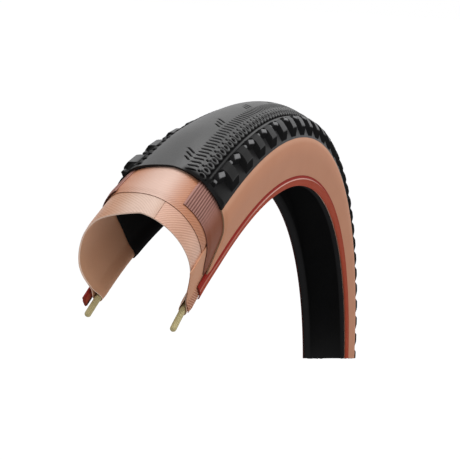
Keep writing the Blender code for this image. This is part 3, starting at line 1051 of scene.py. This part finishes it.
def make_guard(tag, side, finishes):
    """Ribbed strip: the ribs run with the tyre and fade out down the side."""
    length = np.concatenate([np.linspace(GUARD_TOP, RIB_MESH_END, POINTS["ribs"]),
                             np.linspace(PLAIN_MESH_START, GUARD_EDGE, POINTS["guard"])])
    groove = bell(repeat(length - RIB_START, RIB_PITCH), RIB_WIDTH)
    groove *= 1 - smooth((length - RIB_FADE_AT) / RIB_FADE)
    groove[length < GUARD_TOP + RIB_PITCH / 2] = 0.0
    s = side * length
    outer = stretch(s, GUARD_OUT - RIB_DEPTH * groove)
    rows = even_rows(GUARD_CUT, fine_to=94.5, near_step=0.1)
    thin = side_thin(s, GUARD_TOP, GUARD_SIDE_LENGTH)
    # The grooves are kept as marks, where the finish paints shade into them.
    sweep_layer("guard_ribbed_" + tag, outer, stretch(s, BREAKER_OUT + SNUG), GUARD_CUT, rows, finishes,
                "guard_fabric", "guard_strip_" + tag, share=0.5, side_build=thin, marks=groove, sharp=60.0)


def make_wall(tag, side, finishes):
    """Tan rubber from the tread's edge to the bead."""
    s = side * np.linspace(TREAD_EDGE + SNUG, WALL_EDGE, POINTS["wall"])
    rows = even_rows(WALL_CUT, fine_to=94.0, near_step=0.1, far_step=0.8)
    sweep_layer("sidewall_tan_" + tag, stretch(s, WALL_OUT), stretch(s, GUARD_OUT + SNUG), WALL_CUT, rows,
                finishes, "sidewall_rubber", "sidewall_" + tag, share=0.55)


def make_casing(finishes):
    """One ply from bead to bead, folded round both cores and back up to a seam right of the crown."""
    foot, back = FOOT, FOOT[::-1]
    right_up = -np.linspace(SEAM + GAP / 2, TAPER_AT, POINTS["casing right"])
    inside = np.linspace(-TAPER_AT, TAPER_AT, POINTS["casing inside"])
    left_up = np.linspace(TAPER_AT, -SEAM, POINTS["casing left"])
    turns = np.arange(FOLD_STEP, 180.0, FOLD_STEP)
    pressed = BODY_OUT + (TURN_IN - SNUG - BODY_OUT) * smooth((TAPER_AT - np.abs(inside)) / PRESS_LENGTH)
    faces = []
    for turned, body, ends, radius in ((TURN_OUT, BODY_IN, BODY_IN, LOOP_OUT),
                                       (TURN_IN, pressed, BODY_OUT, LOOP_IN)):
        faces.append(path(stretch(right_up, turned), stretch(-foot, turned + spread(foot)),
                          bend(turns, radius, -1), stretch(-back, ends - spread(back)), stretch(inside, body),
                          stretch(foot, ends - spread(foot)), bend(turns[::-1], radius, 1),
                          stretch(back, turned + spread(back)), stretch(left_up, turned)))
    count = len(faces[0][0])
    zone = np.full(2 * count, 2)
    zone[:len(right_up) + len(foot) + len(turns) // 2] = 0
    zone[count - len(left_up) - len(foot) - len(turns) // 2:count] = 1
    rows = even_rows(CASING_CUT, fine_to=96.0, near_step=0.15)
    sweep_layer("casing_folded", *faces, CASING_CUT, rows, finishes, "casing_fabric", "casing_ply", zone,
                share=0.45)


def make_liner(finishes):
    """Airtight black skin inside the casing, carried round the toe of each bead."""
    foot, back = FOOT, FOOT[::-1]
    inside = np.linspace(-TAPER_AT, TAPER_AT, POINTS["liner"])
    right, left = (np.linspace(LINER_END[tag], LINER_START, POINTS["liner toe"]) for tag in ("right", "left"))
    inner, outer = (
        path(bend(right, radius, -1), stretch(-back, level - spread(back)), stretch(inside, level),
             stretch(foot, level - spread(foot)), bend(left[::-1], radius, 1))
        for level, radius in ((0.0, LOOP_OUT + GAP + LINER), (LINER, LOOP_OUT + GAP)))
    rows = even_rows(LINER_CUT, fine_to=93.0, near_step=0.3)
    sweep_layer("liner_black", inner, outer, LINER_CUT, rows, finishes, "liner_rubber", "inner_liner",
                share=0.6)


def make_bead_strip(tag, side, finishes):
    """Woven strip that starts level with the breaker's edge and ends at the bead."""
    length = side * np.linspace(BREAKER_EDGE + SNUG, TAPER_AT, POINTS["strip"])
    turns = np.linspace(BEND_START, STRIP_END[tag], POINTS["strip toe"])
    outer, inner = (
        path(stretch(length, level), stretch(side * FOOT, level + spread(FOOT)), bend(turns, radius, side))
        for level, radius in ((BREAKER_OUT, STRIP_OUT), (BREAKER_IN - GAP + SNUG, STRIP_IN - GAP + SNUG)))
    rows = even_rows(BEAD_STRIP_CUT, fine_to=95.0, near_step=0.15)
    sweep_layer("bead_woven_" + tag, outer, inner, BEAD_STRIP_CUT, rows, finishes,
                "bead_fabric", "bead_strip_" + tag, share=0.4)


def make_chafer(tag, side, finishes):
    """Red rubber on the outside of the bead, with a ridge along it, thinning out at the toe."""
    start = WALL_EDGE + SNUG
    length = np.linspace(start, CORE_AT, POINTS["chafer"])
    down = length - start
    turns = np.linspace(BEND_START, CHAFER_END[tag], POINTS["chafer toe"])
    full = WALL_OUT + (CORE_OFFSET + CHAFER_OUT - WALL_OUT) * smooth(down / CHAFER_BUILD)
    ridge = CHAFER_RIDGE_HEIGHT * bell(down - CHAFER_RIDGE_AT, CHAFER_RIDGE_WIDTH)
    toe = CHAFER * CHAFER_TOE_SHARE * smooth(1 - (CHAFER_END[tag] - turns) / CHAFER_TOE)
    outer = path(stretch(side * length, full + ridge), bend(turns, CHAFER_OUT - toe, side))
    inner = path(stretch(side * length, GUARD_IN + spread(length)), bend(turns, CHAFER_IN, side))
    # The pale line along the ridge is a painted highlight, kept with the mesh as marks.
    line = np.concatenate([bell(down - CHAFER_LINE_AT, CHAFER_LINE_WIDTH), np.zeros(len(turns))])
    rows = even_rows(CHAFER_CUT, fine_to=95.0, near_step=0.15)
    sweep_layer("chafer_red_" + tag, outer, inner, CHAFER_CUT, rows, finishes, "chafer_rubber",
                "chafer_" + tag, share=0.5, marks=line, sharp=40.0, edge_length=CHAFER_EDGE_LENGTH)


def make_core(tag, side, finishes):
    """Bundle of bead fibres with a rounded near end."""
    turns = np.arange(CORE_SIDES) * 360.0 / CORE_SIDES
    rows = even_rows(CORE_CUT, fine_to=97.0, near_step=0.25)
    r, y = round_core(turns, CORE_RADIUS, side)
    middle_r, middle_y = round_core(0.0, 0.0, side)
    cap = CORE_CUT[0] + np.degrees(CORE_TIP_LENGTH / CORE_R) * np.sqrt(1 - CORE_TIP ** 2)
    size = np.concatenate([CORE_TIP, np.ones(len(rows))])[:, None]
    angles = np.concatenate([np.repeat(cap[:, None], CORE_SIDES, 1), turn_rows(rows, CORE_CUT, r, y)])
    points = place(middle_r + (r - middle_r) * size, middle_y + (y - middle_y) * size, angles)
    lay = lay_out(angles, CORE_RADIUS * np.radians(turns))
    make_piece("core_bundle_" + tag, points, lay, list(range(CORE_SIDES // 2)), finishes,
               "bead_core_" + tag)


black_cut = plain_finish("tread_cut", grey(0.010), grey(0.022), depth=0.00008, shine=0.2)
tan_cut = plain_finish("sidewall_cut", shade(158, 124, 98), shade(176, 142, 114))
mauve_cut = plain_finish("guard_cut", shade(104, 68, 60), shade(122, 82, 72))
# Paler crowns are painted highlights; the tints are partly the plies' own tone, partly painted light and
# shade.
breaker_cords = cord_finish(
    "breaker_cords", slope=40.0, pale=shade(194, 144, 118), dark=shade(180, 127, 100),
    between=shade(152, 97, 72), pitch=1.0, show=0.5, flank=(3.0, 12.0), tint=shade(176, 108, 66),
    tint_share=0.5, painted_highlight=0.45)
# The breaker's dark cut edge is painted shade, the shadow under its near edge.
breaker_cut = plain_finish("breaker_cut", shade(120, 82, 64), shade(140, 98, 78))
right_cords = cord_finish(
    "casing_cords_right", slope=40.0, pale=shade(211, 167, 144), dark=shade(196, 148, 124),
    between=shade(165, 112, 88), pitch=1.0, show=0.45, flank=(16.0, 22.0), tint=shade(244, 202, 178),
    tint_share=0.25)
left_cords = cord_finish(
    "casing_cords_left", slope=-40.0, pale=shade(196, 160, 137), dark=shade(178, 140, 116),
    between=shade(156, 114, 91), pitch=0.9, show=0.4, flank=(2.5, 9.0), tint=shade(170, 110, 70),
    tint_share=0.6, painted_highlight=0.40)
inside_ply = plain_finish("casing_inside", shade(196, 148, 117), shade(214, 165, 132), scale=70.0,
                          roughness=0.5, depth=0.00004, shine=0.15)
# The casing's pale cut edge is a painted highlight along its rim.
casing_cut = plain_finish("casing_cut", shade(240, 206, 184), shade(250, 222, 204), roughness=0.6,
                          depth=0.00004, shine=0.2)
liner_skin = plain_finish("liner_black", grey(0.014), grey(0.022), scale=60.0, roughness=0.6, depth=0.00004,
                          shine=0.0)
liner_edge = plain_finish("liner_edge", grey(0.02), grey(0.04), roughness=0.5, depth=0.00004, shine=0.2)
weave_cut = plain_finish("bead_cut", shade(150, 100, 76), shade(176, 124, 98))
red_cut = plain_finish("chafer_cut", shade(120, 44, 33), shade(140, 58, 44), roughness=0.55, depth=0.00004)
straw_end = plain_finish("core_end", shade(176, 162, 114), shade(208, 196, 154), scale=500.0, roughness=0.6,
                         depth=0.00008, shine=0.2)
tan, mauve, weave, red, straw = wall_finish(), guard_finish(), woven_finish(), chafer_finish(), core_finish()

make_tread([tread_finish(), shoulder_finish(), black_cut])
make_breaker([breaker_cords, breaker_cut])
make_casing([right_cords, left_cords, inside_ply, casing_cut])
make_liner([liner_skin, liner_edge])
for tag, side in (("right", -1), ("left", 1)):
    make_guard(tag, side, [mauve, mauve_cut])
    make_wall(tag, side, [tan, tan_cut])
    make_bead_strip(tag, side, [weave, weave_cut])
    make_chafer(tag, side, [red, red_cut])
    make_core(tag, side, [straw, straw_end])


# Floor, light and camera

def seen_directly(f):
    """1 for rays that show what they meet: the camera's own, in a reflection or through glass."""
    camera = f.node("ShaderNodeLightPath")
    seen = camera + camera.other("Is Glossy Ray") + camera.other("Is Transmission Ray")
    return seen.math("MINIMUM", 1.0)


def floor_finish():
    """Pale floor: a glow that grows as the lamps fall off makes it white, and leaves the shadow on it."""
    f = finish("floor_pale")
    matt = f.node("ShaderNodeBsdfDiffuse", None, {"Color": grey(FLOOR_PALE)})
    across = f.node("ShaderNodeSeparateXYZ", None, {0: f.node("ShaderNodeNewGeometry")})
    sideways = across.other("Y")
    spread_out = (across * across + sideways * sideways) * (1 / LAMP_REACH ** 2)
    lamplight = LAMPLIGHT * (1 + spread_out).math("POWER", LAMP_FALL)
    glow = f.node("ShaderNodeEmission", None, {"Color": FLOOR_GLOW - lamplight, "Strength": 1.0})
    both = f.node("ShaderNodeAddShader", None, {0: matt, 1: glow})
    return f.end(f.mix(seen_directly(f), matt, both))


def make_floor():
    """The ground that the whole wheel would stand on."""
    half = FLOOR_SIZE / 2
    corners = [(x * half, y * half, FLOOR_LEVEL) for x, y in ((-1, -1), (1, -1), (1, 1), (-1, 1))]
    mesh = bpy.data.meshes.new("floor")
    mesh.from_pydata(corners, [], [(0, 1, 2, 3)])
    mesh.materials.append(floor_finish())
    floor = add_object("floor", mesh)


def light_world():
    """Even light from all round, white where the camera sees it."""
    world = bpy.data.worlds.new("studio")
    bpy.context.scene.world = world
    f = Finish(world)
    dim, white = (f.node("ShaderNodeBackground", None, {"Color": (1, 1, 1, 1), "Strength": strength})
                  for strength in (AMBIENT, 1.0))
    f.end(f.mix(seen_directly(f), dim, white), "ShaderNodeOutputWorld")


def add_lamp(name, at, size, power):
    """A soft square lamp aimed at the tyre."""
    data = bpy.data.lights.new(name, "AREA")
    data.size = size
    data.energy = power
    lamp = add_object(name, data)
    lamp.location = at
    lamp.rotation_euler = (Vector(LAMP_AIM) - Vector(at)).to_track_quat("-Z", "Y").to_euler()


def add_camera():
    """The photograph's viewpoint: turned from +X towards +Y, and tilted down."""
    data = bpy.data.cameras.new("camera")
    data.lens = LENS
    data.sensor_width = SENSOR
    data.clip_start = CAMERA_NEAREST
    camera = add_object("camera", data)
    camera.location = CAMERA_AT
    camera.rotation_euler = (math.radians(90 - CAMERA_TILT), 0.0, math.radians(CAMERA_TURN - 90))
    bpy.context.scene.camera = camera


make_floor()
light_world()
for lamp in LAMPS:
    add_lamp(*lamp)
add_camera()
bpy.context.scene.view_settings.view_transform = "Standard"
